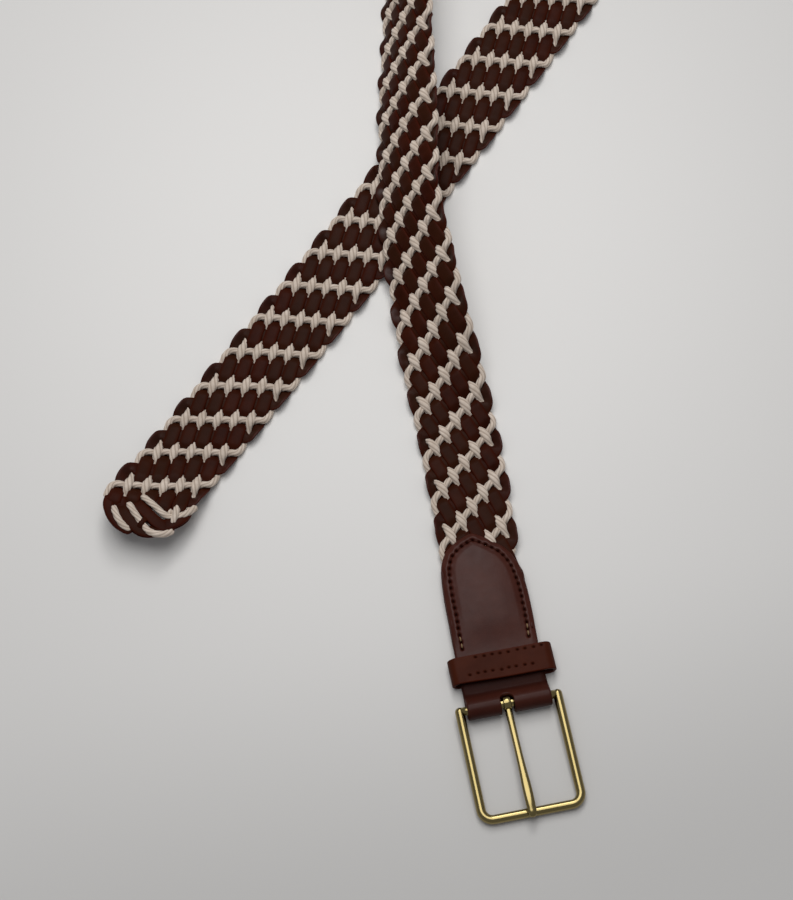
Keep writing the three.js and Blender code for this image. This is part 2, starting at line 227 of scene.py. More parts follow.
def tube(name, rings, fields=None, material=None, closed=False):
    """A swept body from an array of rings (ring, point, xyz), capped unless it closes."""
    count, size = rings.shape[:2]
    caps = () if closed else (range(size - 1, -1, -1), range((count - 1) * size, count * size))
    return make(name, rings, sweep_faces(count, size, closed), caps, fields, material)


# ---- Materials ----
def material(name):
    m = bpy.data.materials.new(name)
    m.use_nodes = True
    tree = m.node_tree
    tree.nodes.clear()
    out = tree.nodes.new("ShaderNodeOutputMaterial")
    shader = tree.nodes.new("ShaderNodeBsdfPrincipled")
    tree.links.new(shader.outputs[0], out.inputs[0])
    return m, tree, shader


class Nodes:
    """Short ways to add and join the nodes of one material."""

    def __init__(self, tree):
        self.tree = tree

    def put(self, kind, inputs=None, **settings):
        node = self.tree.nodes.new(kind)
        for key, value in settings.items():
            setattr(node, key, value)
        for key, value in (inputs or {}).items():
            if isinstance(value, bpy.types.NodeSocket):
                self.tree.links.new(value, node.inputs[key])
            else:
                node.inputs[key].default_value = value
        return node

    def place(self, scale=(1, 1, 1)):
        where = self.put("ShaderNodeTexCoord").outputs["Object"]
        return self.put("ShaderNodeMapping", {0: where, 3: scale}).outputs[0]

    def noise(self, where, scale, detail=3.0, roughness=0.5):
        inputs = {"Vector": where, "Scale": scale, "Detail": detail, "Roughness": roughness}
        return self.put("ShaderNodeTexNoise", inputs).outputs["Fac"]

    def cells(self, where, scale):
        inputs = {"Vector": where, "Scale": scale}
        return self.put("ShaderNodeTexVoronoi", inputs, feature="DISTANCE_TO_EDGE").outputs["Distance"]

    def field(self, name):
        return self.put("ShaderNodeAttribute", attribute_name=name).outputs["Fac"]

    def ramp(self, value, stops):
        node = self.put("ShaderNodeValToRGB", {0: value})
        ramp = node.color_ramp
        while len(ramp.elements) < len(stops):
            ramp.elements.new(0.5)
        for element, (at, colour) in zip(ramp.elements, stops):
            element.position = at
            element.color = (*colour, 1) if len(colour) == 3 else (colour[0],) * 3 + (1,)
        return node.outputs[0]

    def mix(self, share, a, b, blend="MIX"):
        node = self.put("ShaderNodeMix", data_type="RGBA", blend_type=blend)
        for index, value in ((0, share), (6, a), (7, b)):
            if isinstance(value, bpy.types.NodeSocket):
                self.tree.links.new(value, node.inputs[index])
            elif index == 0:
                node.inputs[0].default_value = value
            else:
                node.inputs[index].default_value = (*value, 1)
        return node.outputs[2]

    def math(self, operation, a, b=0.0, c=0.0):
        node = self.put("ShaderNodeMath", operation=operation)
        for index, value in enumerate((a, b, c)):
            if isinstance(value, bpy.types.NodeSocket):
                self.tree.links.new(value, node.inputs[index])
            else:
                node.inputs[index].default_value = value
        return node.outputs[0]

    def spread(self, value, low, high, start=0.0, end=1.0, kind="LINEAR"):
        """From low where the value is start to high where it is end."""
        inputs = {0: value, 1: start, 2: end, 3: low, 4: high}
        return self.put("ShaderNodeMapRange", inputs, interpolation_type=kind).outputs[0]

    def bump(self, height, strength, distance):
        inputs = {"Height": height, "Strength": strength, "Distance": distance}
        return self.put("ShaderNodeBump", inputs).outputs[0]


def join(tree, shader, **sockets):
    """Links or sets the shader's sockets, named with an underscore for each space."""
    for key, value in sockets.items():
        name = key.replace("_", " ")
        if isinstance(value, bpy.types.NodeSocket):
            tree.links.new(value, shader.inputs[name])
        else:
            shader.inputs[name].default_value = value


OLIVE = (0.025, 0.0086, 0.0034)
PAINTED_SHADE_BROWN = (0.013, 0.0026, 0.0015)
LOBE_GLOSS = 0.16


def leather(name, dark, light, edge, roughness, grain, gloss):
    """Finished leather with fine grain. Its fields say where it is redder (edge), more olive (tint), darker
    with painted shade and dull (painted_shade) and glossier (lobe)."""
    m, tree, shader = material(name)
    n = Nodes(tree)
    where = n.place()
    mottle = n.noise(where, 90, 4, 0.6)
    colour = n.mix(n.ramp(mottle, [(0.3, (0,)), (0.7, (1,))]), dark, light)
    colour = n.mix(n.math("MULTIPLY", n.field("tint"), 0.7), colour, OLIVE)
    colour = n.mix(n.math("MULTIPLY", n.field("edge"), 0.6), colour, edge)
    # painted shade: darker and duller in the stitch holes and in the tab's neck under the keeper
    colour = n.mix(n.field("painted_shade"), colour, PAINTED_SHADE_BROWN)
    pores = n.cells(where, grain)
    creases = n.noise(where, grain * 0.35, 5, 0.62)
    relief = n.math("ADD", n.math("MULTIPLY", pores, 0.5), creases)
    normal = n.bump(relief, 0.22, 0.00025)
    rough = n.spread(n.noise(where, 260, 3, 0.6), roughness - 0.07, roughness + 0.1)
    join(tree, shader, Base_Color=colour, Roughness=rough, Normal=normal)
    shine = n.math("MULTIPLY", n.math("SUBTRACT", 1.0, n.field("painted_shade")), gloss)
    shine = n.math("MULTIPLY_ADD", n.field("lobe"), LOBE_GLOSS, shine)
    join(tree, shader, IOR=1.45, Specular_IOR_Level=shine)
    return m


def cotton():
    """Twisted cotton cord: plies in the mesh, yarn and lint in the bump, painted shade in the ply grooves."""
    m, tree, shader = material("cord_cotton")
    n = Nodes(tree)
    where = n.place()
    tone = n.noise(where, 220, 4, 0.65)
    colour = n.mix(n.ramp(tone, [(0.3, (0,)), (0.75, (1,))]), (0.52, 0.428, 0.348), (0.72, 0.615, 0.525))
    # painted shade in the grooves between plies
    colour = n.mix(n.math("MULTIPLY", n.field("groove"), 0.7), colour, (0.27, 0.20, 0.15))
    fibre = n.noise(where, 2600, 3, 0.7)
    lint = n.noise(where, 900, 4, 0.7)
    normal = n.bump(n.math("ADD", fibre, lint), 0.35, 0.00022)
    join(tree, shader, Base_Color=colour, Roughness=0.9, Normal=normal)
    join(tree, shader, Sheen_Weight=0.12, Sheen_Roughness=0.5, Specular_IOR_Level=0.2)
    return m


def metal():
    """Polished brass with fine scratches."""
    m, tree, shader = material("brass")
    n = Nodes(tree)
    where = n.place()
    cloud = n.noise(where, 60, 3, 0.5)
    colour = n.mix(cloud, (0.25, 0.194, 0.072), (0.32, 0.25, 0.102))
    scratch = n.noise(n.place((1, 6, 1)), 1500, 3, 0.7)
    rough = n.spread(n.noise(where, 500, 4, 0.6), 0.13, 0.23)
    join(tree, shader, Base_Color=colour, Roughness=rough, Normal=n.bump(scratch, 0.05, 0.00005))
    join(tree, shader, Metallic=1.0, Coat_Weight=0.3, Coat_Roughness=0.12)
    return m


def sewing():
    """Waxed thread, worn bare where its field says so (tan)."""
    m, tree, shader = material("thread")
    n = Nodes(tree)
    fine = n.noise(n.place(), 3000, 3, 0.7)
    colour = n.mix(fine, (0.03, 0.007, 0.004), (0.052, 0.014, 0.008))
    colour = n.mix(n.field("tan"), colour, (0.36, 0.25, 0.13))
    join(tree, shader, Base_Color=colour, Roughness=0.7, Normal=n.bump(fine, 0.3, 0.0001))
    join(tree, shader, Specular_IOR_Level=0.1)
    return m


def paper():
    """A matt pale surface with painted light falloff: painted shade towards the front and away from the
    belt's middle.
    """
    m, tree, shader = material("surface")
    n = Nodes(tree)
    cloud = n.noise(n.place(), 2.5, 2, 0.5)
    colour = n.mix(cloud, (0.80, 0.785, 0.762), (0.82, 0.805, 0.782))
    y = n.put("ShaderNodeSeparateXYZ", {0: n.place()}).outputs[1]
    # painted shade, darker towards the front
    front_painted_shade = n.spread(y, 0.84, 1, -0.13, 0.02, "SMOOTHSTEP")
    # painted light, brighter round the belt's middle and dimmer away from it
    away = n.put("ShaderNodeVectorMath", {0: n.place(), 1: (-0.01, 0.17, 0)}, operation="DISTANCE")
    around = n.spread(away.outputs["Value"], 1, 0.82, 0.03, 0.30, "SMOOTHSTEP")
    colour = n.mix(1.0, colour, n.math("MULTIPLY", front_painted_shade, around), "MULTIPLY")
    tooth = n.bump(n.noise(n.place(), 900, 3), 0.05, 0.0001)
    join(tree, shader, Base_Color=colour, Roughness=0.8, Normal=tooth)
    join(tree, shader, Specular_IOR_Level=0.2)
    return m


STRIP = leather(
    "strip_leather", (0.019, 0.0026, 0.0008), (0.041, 0.0072, 0.0028), (0.057, 0.006, 0.002), 0.4, 1500, 0.04)
TAB = leather(
    "tab_leather", (0.041, 0.0078, 0.0038), (0.058, 0.0125, 0.0065), (0.048, 0.007, 0.0035), 0.4, 1300, 0.21)
LOOP = leather(
    "keeper_leather", (0.04, 0.0082, 0.0034), (0.058, 0.0128, 0.0055), (0.066, 0.011, 0.005),
    0.42, 1300, 0.05)
COTTON = cotton()
BRASS = metal()
THREAD = sewing()


# ---- The braid: six leather strips and six cotton cords, in turn ----
STRANDS = 12
LEG = 12  # crossings from edge to edge, with the edge itself
ROWS = 6  # rows of the braid in one whole course of a strand
RISE_ROWS = 1.56  # rows that a strand climbs on its short way across
FIRST_ROW = POCKET_AT + 0.3
BRAID_START = POCKET_AT + 0.5  # between the tab's leaves
table_pitch = ROW_PITCH * read(BRAID, PITCH, (TABLE_S[1:] - 0.5) / STRAP_LENGTH)
table_rows = np.concatenate([[0], np.cumsum(1 / table_pitch)])
table_rows -= np.interp(FIRST_ROW, TABLE_S, table_rows)
table_rows += np.interp(TABLE_S, [936, 954], [0, 0.08])  # the last rows lie a little closer
STRIP_HALF = 3.0
STRIP_THICK = 1.3
EDGE_TURN = 50  # degrees that a strip turns about itself at the band's sides
CORD_HALF = 1.5
PLIES = 5
TWIST = 20.0  # length of one turn of the plies

STRIP_SECTION = np.array([  # shares of half the width and of the thickness
    (-1, 0), (-0.96, 0.26), (-0.84, 0.42), (-0.46, 0.52), (0, 0.56), (0.46, 0.52), (0.84, 0.42), (0.96, 0.26),
    (1, 0), (0.95, -0.34), (0.62, -0.45), (0, -0.46), (-0.62, -0.45), (-0.95, -0.34),
])
# Height of a strand's middle at a crossing: on the short way over and under, on the long way under and over
LEVELS = {"strip": (0.3, -0.75, -1.05, 1.0), "cord": (0.85, -0.85, -1.35, 1.3)}
# Shares of the way to the next crossing where a strand starts and ends to fall, then to rise, on the long way
RAMPS = {"strip": (0.4, 0.95, 0.05, 0.6), "cord": (0.12, 0.66, 0.34, 0.92)}
INSET = {"strip": 1.1, "cord": 0.75}  # from the band's side to a strand's middle where it turns back
SHORT_SAMPLES, LONG_SAMPLES = 5, 9  # points from crossing to crossing


def spline_weights(f):
    """Weights of four following nodes at share f between the middle two."""
    return np.stack([(1 - f) ** 3, 3 * f**3 - 6 * f**2 + 4, -3 * f**3 + 3 * f**2 + 3 * f + 1, f**3]) / 6


def course(number, kind):
    """Points along a strand: row, share across, height, turn about itself, and if it is on the long way."""
    over_short, under_short, under_long, over_long = LEVELS[kind]
    first = -ROWS - RISE_ROWS + number / 2
    nodes_rows, nodes_across, nodes_level, nodes_tilt = [], [], [], []
    periods = int(math.ceil((table_rows[-1] - first) / ROWS)) + 2
    for period in range(periods):
        start = first + period * ROWS
        for j in range(LEG):
            nodes_rows.append(start + RISE_ROWS * j / LEG)
            nodes_across.append(-1 + 2 * j / LEG)
            nodes_level.append(0 if j == 0 else over_short if j % 2 else under_short)
            nodes_tilt.append(1 if j == 0 else 0)
        for j in range(LEG):
            nodes_rows.append(start + RISE_ROWS + (ROWS - RISE_ROWS) * j / LEG)
            nodes_across.append(1 - 2 * j / LEG)
            nodes_level.append(0 if j == 0 else under_long if j % 2 else over_long)
            nodes_tilt.append(-1 if j == 0 else 0)
    nodes = np.array([nodes_rows, nodes_across])
    level = np.array(nodes_level)
    tilt = np.array(nodes_tilt, float)
    per_node = np.where(np.arange(len(level)) % (2 * LEG) < LEG, SHORT_SAMPLES, LONG_SAMPLES)
    index, share = [], []
    for i in range(1, len(level) - 2):
        for k in range(per_node[i]):
            index.append(i)
            share.append(k / per_node[i])
    index, share = np.array(index), np.array(share)
    weights = spline_weights(share)
    rows, across = sum(weights[k] * nodes[:, index - 1 + k] for k in range(4))
    long_way = (index % (2 * LEG)) >= LEG
    falling = level[index + 1] < level[index]
    fall_start, fall_end, rise_start, rise_end = RAMPS[kind]
    start = np.where(long_way, np.where(falling, fall_start, rise_start), 0.0)
    end = np.where(long_way, np.where(falling, fall_end, rise_end), 1.0)
    rise = ease(np.clip((share - start) / (end - start), 0, 1))
    height = level[index] + (level[index + 1] - level[index]) * rise
    roll = tilt[index] * ease(1 - share) + tilt[index + 1] * ease(share)
    return rows, across, height, roll, long_way


def flat_course(number, kind):
    """A woven strand's line in flat space, its roll, if it is on the long way, and its height."""
    rows, across, height, roll, long_way = course(number, kind)
    s = np.interp(rows, table_rows, TABLE_S)
    along = s / STRAP_LENGTH
    half = read(BRAID, WIDTH, along) * BAND_WIDTH / 2 - INSET[kind]
    across = across + read(DRIFT, 1, along) * (1 - across**2)
    s = s + across * read(LEAN, 1, along) * ROW_PITCH * read(BRAID, PITCH, along)
    middle = np.stack([s, across * half, height * read(BRAID, THICKNESS, along)], -1)
    return middle, roll, long_way, height


def axes_of(middle):
    """Side and up directions of a strand."""
    ahead = np.gradient(middle, axis=0)
    ahead /= np.linalg.norm(ahead, axis=1, keepdims=True)
    side = np.stack([-ahead[:, 1], ahead[:, 0], 0 * ahead[:, 0]], -1)
    side /= np.linalg.norm(side, axis=1, keepdims=True)
    return side, np.cross(ahead, side)


# Where the woven strands end at the free tip, under the strands turned across it: across, along
TUCK = np.array([
    (-19, 982), (-10, 986), (0, 988.5), (4, 991.5), (8, 996.5), (12, 998), (15, 995), (19, 989.5)])


def trim(middle):
    """Which of a strand's points lie between the tab and the free tip, with its end sunk."""
    tuck = np.interp(middle[:, 1], TUCK[:, 0], TUCK[:, 1])
    middle[:, 2] -= (middle[:, 2] + 0.5) * step(-4, -0.5, middle[:, 0] - tuck)
    return (middle[:, 0] > BRAID_START) & (middle[:, 0] < tuck)


def strip(number):
    middle, roll, *_ = flat_course(number, "strip")
    keep = trim(middle)
    middle, roll = middle[keep], roll[keep]
    return strip_along(f"strip_{number // 2 + 1}", middle, roll, STRIP_HALF, rng.uniform(0, 1))


def strip_along(name, middle, roll, half_width, tint, round_ends=0.0):
    """A leather strip along a line of flat space, turned about itself by its roll."""
    side, up = axes_of(middle)
    travel = travel_along(middle)
    to_end = np.minimum(travel, travel[-1] - travel)
    wide = np.full(len(middle), half_width)
    if round_ends:
        wide *= np.sqrt(np.clip(1 - np.maximum(1 - to_end / round_ends, 0) ** 2, 0.04, 1))
    angle = np.radians(EDGE_TURN) * roll
    cosine, sine = np.cos(angle)[:, None, None], np.sin(angle)[:, None, None]
    p = (STRIP_SECTION[:, 0][None] * wide[:, None])[..., None]
    q = (STRIP_SECTION[:, 1] * STRIP_THICK)[None, :, None]
    q = q * read(BRAID, THICKNESS, middle[:, 0] / STRAP_LENGTH)[:, None, None]
    rings = middle[:, None] + side[:, None] * (p * cosine + q * sine) + up[:, None] * (q * cosine - p * sine)
    edge = np.repeat(np.clip((np.abs(STRIP_SECTION[:, 0]) - 0.78) / 0.2, 0, 1)[None], len(middle), 0)
    fields = {"edge": edge, "tint": edge * 0 + tint, "lobe": edge * 0 + np.abs(roll)[:, None]}
    return tube(name, lay(rings), fields, STRIP)


def cord(number):
    middle, _, long_way, height = flat_course(number, "cord")
    under_shoulder = step(12, 17, middle[:, 1]) * (1 - step(64, 69, middle[:, 0]))
    middle[:, 1] -= 4.2 * under_shoulder  # the cords draw in before the tab's right shoulder
    keep = trim(middle)
    middle, long_way, height = middle[keep], long_way[keep], height[keep]
    knot = np.where(long_way, np.clip(height / LEVELS["cord"][3], 0, 1) ** 1.5, 0)
    return cord_along(f"cord_{number // 2 + 1}", middle, knot)


def cord_along(name, middle, knot):
    """A twisted cord along a line of flat space, broader where it makes a knot."""
    side, up = axes_of(middle)
    travel = travel_along(middle)
    to_end = np.minimum(travel, travel[-1] - travel)
    blunt = np.sqrt(np.clip(1 - np.maximum(1 - to_end / CORD_HALF, 0) ** 2, 0.05, 1))
    wide = (CORD_HALF + 0.5 * knot) * blunt
    high = CORD_HALF * (1 - 0.04 * knot) * blunt * read(BRAID, THICKNESS, middle[:, 0] / STRAP_LENGTH)
    count = PLIES * 4
    around = np.arange(count) * 2 * np.pi / count
    lobe = np.array([0.86, 0.97, 1.02, 0.97])[np.arange(count) % 4]
    theta = around[None] + (2 * np.pi * travel / TWIST)[:, None]
    p = (np.cos(theta) * lobe) * wide[:, None]
    q = (np.sin(theta) * lobe) * high[:, None]
    rings = middle[:, None] + side[:, None] * p[..., None] + up[:, None] * q[..., None]
    # where the cord's material paints shade between the plies
    groove = np.repeat((np.arange(count) % 4 == 0).astype(float)[None], len(middle), 0)
    return tube(name, lay(rings), {"groove": groove}, COTTON)


# Strands turned across the free tip and tucked in: points along, across, level
TIP_HALF_WIDTHS = {"edge": 2.3, "end": 2.6, "across": 2.6, "side": 2.6, "tie": 1.2}
TIP_ROUND_ENDS = 2.2
BOTH_LEVELS = -0.55  # a tip strip's level in front and its twin's behind come to this
TIP_STRIPS = {
    "edge": [(990.6, 12.7, -1.2), (993.2, 13, 0), (995.8, 12.2, 0.5), (998, 10.3, 0.55), (1000, 7, 0.55),
             (1001.2, 3, 0.4), (1001.2, -1, 0.1), (1000.6, -4.5, -0.7)],
    "end": [(993.5, 7.9, -1), (995.3, 5.4, 0.4), (996.8, 1.2, 0.75), (998, -3.2, 0.7), (998, -7.4, 0.5),
            (996.2, -11, 0.1), (993, -13.6, -0.8)],
    "across": [(988.4, 4.4, -1), (989.2, 1.6, 0.3), (989.9, -1.9, 0.7), (990.6, -6.2, 0.75),
               (991.2, -10.8, 0.6), (990.6, -14.6, 0.2), (988, -17.6, -0.6)],
    "side": [(978, -16.6, -0.9), (981.6, -17.4, 0.2), (985.4, -16.7, 0.5), (988.8, -14.8, 0.3),
             (991.5, -11.8, -0.5)],
    "tie": [(991.4, -5.6, -0.4), (993.6, -5.7, 1.1), (995.4, -5.8, 1.7), (997.2, -6, 1.1),
            (999.2, -6.2, -0.4)],
}
TIP_CORDS = {
    "left": [(996.2, 9.2, -0.8), (997.3, 7.8, 0.6), (998.6, 5.9, 1.1), (1000, 3.4, 1.1), (1000.8, 0.9, 0.9),
             (1001, -1.4, 0.4), (1000.6, -3.8, -0.8)],
    "middle": [(991.2, 5, -0.9), (991.9, 3.6, 0.7), (992.7, 1.8, 1.25), (993.8, -0.8, 1.2),
               (995, -4.2, 0.9), (996, -7.2, 0.3), (996.8, -10.2, 0.9), (996.2, -13.2, 1),
               (994.4, -15.8, 0.6), (992, -17.2, -0.3), (989.5, -18, -0.9)],
    "right": [(985, 2.6, -0.9), (985.1, 1.2, 0.7), (985.3, -0.4, 1.3), (985.5, -2.6, 1.35),
              (985.9, -6.3, 1.2), (986.4, -9.6, 0.9), (985.9, -12.8, 0.6), (983.8, -15.2, 0.3),
              (981, -17.2, 0.5), (977.8, -18.2, 0.6), (974, -18.4, -0.3)],
    "knot": [(978.3, -11.8, -0.8), (980.2, -12.8, 0.5), (982.2, -13.9, 1.5), (984.2, -14.8, 1.45),
             (986.3, -15.5, 0.4), (987.8, -16, -0.8)],
}

woven = []
for number in range(0, STRANDS, 2):
    woven.append((strip(number), "strip_leather"))
    woven.append((cord(number + 1), "cord_cotton"))
for name, points in TIP_STRIPS.items():
    line = smooth_path(points, spacing=0.6)
    for side, level in (("tip", line[:, 2]), ("back", BOTH_LEVELS - line[:, 2])):
        turned = np.stack([line[:, 0], line[:, 1], level], -1)
        tint = rng.uniform(0, 1)
        strand = strip_along(
            f"{side}_strip_{name}", turned, 0 * level, TIP_HALF_WIDTHS[name], tint, TIP_ROUND_ENDS)
        woven.append((strand, "strip_leather"))
for name, points in TIP_CORDS.items():
    line = smooth_path(points, spacing=0.7)
    woven.append((cord_along(f"tip_cord_{name}", line, 0 * line[:, 0]), "cord_cotton"))
for piece, slot in woven:
    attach(piece, "strap")
    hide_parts("braided_band")


# ---- The tab: one leather sheet folded round the bar, its leaves holding the braid ----
SLOT_MIDDLE = -0.8
SLOT_HALF = 2.8
SLOT_ROUND = 1.2  # from the bar to where the slot's end starts to curve
FLANGE = 6.2  # top of the front leaf over the braid's end
POINT = 76.6  # from the bar to the tab's point
STITCH_INSET = 3.4
STITCH_STEP = 2.95
STITCHES_FROM = 25  # from the bar
STITCH_STRAY = 0.12
TAB_HOLE, KEEPER_HOLE = (0.76, 0.6), (0.6, 0.45)  # half the length and half the width of a hole
HOLE_DEPTH = 0.85
SHOULDER_DROP = 0.95  # how far the front leaf's edges turn down
LEFT_EDGE = smooth_path([  # from the bar, across
    (-6, -17.7), (20, -17.6), (36, -17.5), (49.5, -17.7), (58.5, -17.5), (63, -17.0), (67.3, -15.4),
    (70.1, -13.4), (73.1, -9.8), (75.6, -5.3), (POINT, -2.6)], 0.5)
RIGHT_EDGE = smooth_path([
    (-6, 17.7), (20, 17.6), (36, 17.9), (49, 17.5), (57.4, 16.3), (62.2, 14.9), (68, 11.2), (72.4, 5.6),
    (75.2, 1.2), (POINT, -2.2)], 0.5)
OUTLINE = np.vstack([LEFT_EDGE, RIGHT_EDGE[::-1]])


def inside_edge(s, across):
    """How far points of the tab lie inside its edge."""
    point = np.stack(np.broadcast_arrays(s, across), -1)[..., None, :]
    start, way = OUTLINE[:-1], np.diff(OUTLINE, axis=0)
    share = np.clip(((point - start) * way).sum(-1) / (way**2).sum(-1), 0, 1)
    return np.sqrt(((point - start - share[..., None] * way) ** 2).sum(-1).min(-1))


def stitch_line():
    """Points and directions of the holes along both sides and round the tab's point."""
    ahead = np.gradient(OUTLINE, axis=0)
    ahead /= np.linalg.norm(ahead, axis=1, keepdims=True)
    for _ in range(12):
        ahead[1:-1] = (ahead[:-2] + ahead[1:-1] + ahead[2:]) / 3
        ahead /= np.linalg.norm(ahead, axis=1, keepdims=True)
    line = OUTLINE + STITCH_INSET * np.stack([-ahead[:, 1], ahead[:, 0]], -1)
    line = line[line[:, 0] > STITCHES_FROM]
    travel = travel_along(line)
    at = np.arange(0.5, travel[-1], STITCH_STEP)
    spots = np.stack([np.interp(at, travel, line[:, k]) for k in range(2)], -1)
    nearby = np.stack([np.interp(at + 0.2, travel, line[:, k]) for k in range(2)], -1)
    way = nearby - spots
    stray = rng.uniform(-STITCH_STRAY, STITCH_STRAY, spots.shape)
    return spots + stray, way / np.linalg.norm(way, axis=1, keepdims=True)


stitch_spots, stitch_ways = stitch_line()


def dents(u, v, spots, ways, length, width):
    """How deep points lie in oval holes, from 0 to 1."""
    deep = np.zeros(np.shape(u))
    for (a, b), (du, dv) in zip(spots, ways):
        near = (np.abs(u - a) < 3) & (np.abs(v - b) < 3)
        along = (u[near] - a) * du + (v[near] - b) * dv
        aside = (v[near] - b) * du - (u[near] - a) * dv
        deep[near] = np.maximum(deep[near], np.exp(-((along / length) ** 2 + (aside / width) ** 2) ** 1.5))
    return deep


def leaf_top(s):
    """Height of the front leaf, from its neck up over the braid's end."""
    return NECK_TOP + (FLANGE - NECK_TOP) * step(21.5, 38, s)


def tab_relief(s, across, inside):
    """Rise of the tab's front over its leaf: edges turned down, stitch groove, padded middle, lumps."""
    front = step(24, 36, s)
    rise = -SHOULDER_DROP * (1 - step(0, 2.5, inside)) * (0.3 + 0.7 * front)
    rise -= 0.28 * np.exp(-(((inside - STITCH_INSET) / 0.5) ** 2)) * step(24, 28, s)
    left, right = (np.interp(s, line[:, 0], line[:, 1]) for line in (LEFT_EDGE, RIGHT_EDGE))
    soft = 1 / np.sqrt(sum(1 / np.maximum(d, 0.5) ** 2 for d in (across - left, right - across, 77.5 - s)))
    rise += (0.4 * step(4, 6.4, inside) + 1.1 * step(2.5, 12.6, soft)) * step(23, 46, s)
    lumps = np.sin(s * 0.95 + across * 0.62) * np.sin(across * 1.0 - s * 0.4 + 1)
    rise += 0.2 * lumps * (1 - step(2.8, 5.5, inside)) * step(44, 58, s)
    return rise


def tab_rows():
    """The sheet's outer side as a line along the strap, from under the point round the fold to the point,
    and which of its rows are on the front leaf."""
    under = np.concatenate([
        [POINT, 76.5, 76.2, 75.7, 75, 74, 72.5, 70.5, 68], np.arange(65, 33, -3.0), [31, 29.5, 28, 26.5, 25],
        np.arange(23, 9, -2.0), np.arange(8, 0, -0.5)])
    under_z = CLEAR + (NECK_UNDER - CLEAR) * (1 - step(25, 31, under)) * step(0, 9, under)
    angle = np.linspace(0, np.pi, 44)
    over = np.concatenate([
        np.arange(0.35, 75.6, 0.38), [75.7, 75.95, 76.15, 76.3, 76.42, 76.5, 76.56, POINT]])
    over_z = leaf_top(over) + (2 * ROLL_RADIUS - NECK_TOP) * (1 - step(0.3, 7.2, over))
    s = np.concatenate([under, -ROLL_RADIUS * np.sin(angle), over])
    z = np.concatenate([under_z, ROLL_RADIUS * (1 - np.cos(angle)) + CLEAR * (angle < 1), over_z])
    upper = np.concatenate([under * 0, angle * 0 + (angle > np.pi / 2), over * 0 + 1])
    return s, z, upper


SLOT_CELLS = 14  # faces across the slot


def tab():
    """The folded sheet with both of its sides and its cut edges."""
    s, z, upper = tab_rows()
    ahead = np.gradient(np.stack([s, z], -1), axis=0)
    ahead /= np.linalg.norm(ahead, axis=1, keepdims=True)
    normal = np.stack([ahead[:, 1], -ahead[:, 0]], -1)
    if normal[len(s) // 2 + 20, 1] < 0:
        normal = -normal
    left = np.interp(s, LEFT_EDGE[:, 0], LEFT_EDGE[:, 1])
    right = np.interp(s, RIGHT_EDGE[:, 0], RIGHT_EDGE[:, 1])
    toward = step(50, 74, s)
    middle = SLOT_MIDDLE + ((left + right) / 2 - SLOT_MIDDLE) * toward
    curve = np.sqrt(np.maximum(SLOT_HALF**2 - np.maximum(s - SLOT_ROUND, 0) ** 2, 0.5**2))
    half = curve + (SLOT_HALF - curve) * step(3.5, 9, s)
    half = np.minimum(half, 0.16 * (right - left))
    steps = np.concatenate([[0, 0.05, 0.18, 0.4, 0.7], np.arange(1.05, 14.9, 0.42)])  # closer at the edges
    share = steps / steps[-1]
    across = np.concatenate([
        left[:, None] + (middle - half - left)[:, None] * share[None],
        middle[:, None] + half[:, None] * np.linspace(-1, 1, SLOT_CELLS + 1)[None, 1:-1],
        right[:, None] + (middle + half - right)[:, None] * share[None, ::-1],
    ], 1)
    rows, columns = across.shape
    s_grid = np.repeat(s[:, None], columns, 1)
    inside = inside_edge(s_grid, across)
    deep = dents(s_grid, across, stitch_spots, stitch_ways, *TAB_HOLE) * upper[:, None]
    relief = tab_relief(s_grid, across, inside) * upper[:, None] * step(0, 6, s_grid) - HOLE_DEPTH * deep
    radius = LEAF / 2
    rim = radius * (1 - np.sqrt(np.clip(1 - np.maximum(1 - inside / radius, 0) ** 2, 0, 1)))
    out = (relief - rim)[..., None] * normal[:, None]
    drop = -SHOULDER_DROP * (1 - step(0, 2.5, inside)) * upper[:, None] * step(26, 33, s_grid)
    back = (drop + rim - LEAF)[..., None] * normal[:, None]
    base = np.stack([s, z], -1)[:, None]
    outer, inner = base + out, base + back
    points = np.concatenate([
        beside(grid[..., 0], across, grid[..., 1]).reshape(-1, 3) for grid in (outer, inner)])
    index = np.arange(rows * columns).reshape(rows, columns)
    keep = np.ones((rows - 1, columns - 1), bool)
    first = len(steps) - 1
    open_rows = (s[:-1] < SLOT_ROUND + SLOT_HALF) & (s[1:] < SLOT_ROUND + SLOT_HALF)
    keep[open_rows, first:first + SLOT_CELLS] = False
    a, b, c, d = index[:-1, :-1], index[1:, :-1], index[1:, 1:], index[:-1, 1:]
    faces = [np.stack([a, b, c, d], -1)[keep], np.stack([d, c, b, a], -1)[keep] + rows * columns]
    wide = np.pad(keep, 1)
    for start, end, beyond in ((a, b, wide[1:-1, :-2]), (b, c, wide[2:, 1:-1]), (c, d, wide[1:-1, 2:]),
                               (d, a, wide[:-2, 1:-1])):
        rim_cells = keep & ~beyond
        faces.append(np.stack([end, start, start + rows * columns, end + rows * columns], -1)[rim_cells])
    neck_painted_shade = (0.22 + 0.52 * step(3.2, 6.5, s_grid)) * (1 - step(18, 22, s_grid))  # painted shade: a little over the fold, more in the neck where the keeper's shadow falls
    edge = 0.5 * np.clip(1.5 - inside / 0.9, 0, 1)
    edge += 0.8 * np.exp(-(((inside - STITCH_INSET) / 0.9) ** 2)) * (across < 0)
    fields = {
        "edge": np.concatenate([edge.ravel() * np.repeat(upper, columns), edge.ravel()]),
        # painted shade in the stitch holes, over the fold and in the neck under the keeper
        "painted_shade": np.concatenate([np.clip(1.3 * deep + neck_painted_shade, 0, 1).ravel(), deep.ravel() * 0]),
    }
    return make("tab_sheet", points, np.concatenate(faces), (), fields, TAB)


THREAD_RADII = np.array([0.16, 0.27, 0.28, 0.27, 0.16])
THREAD_RISE = np.array([-0.35, 0.06, 0.14, 0.06, -0.35])


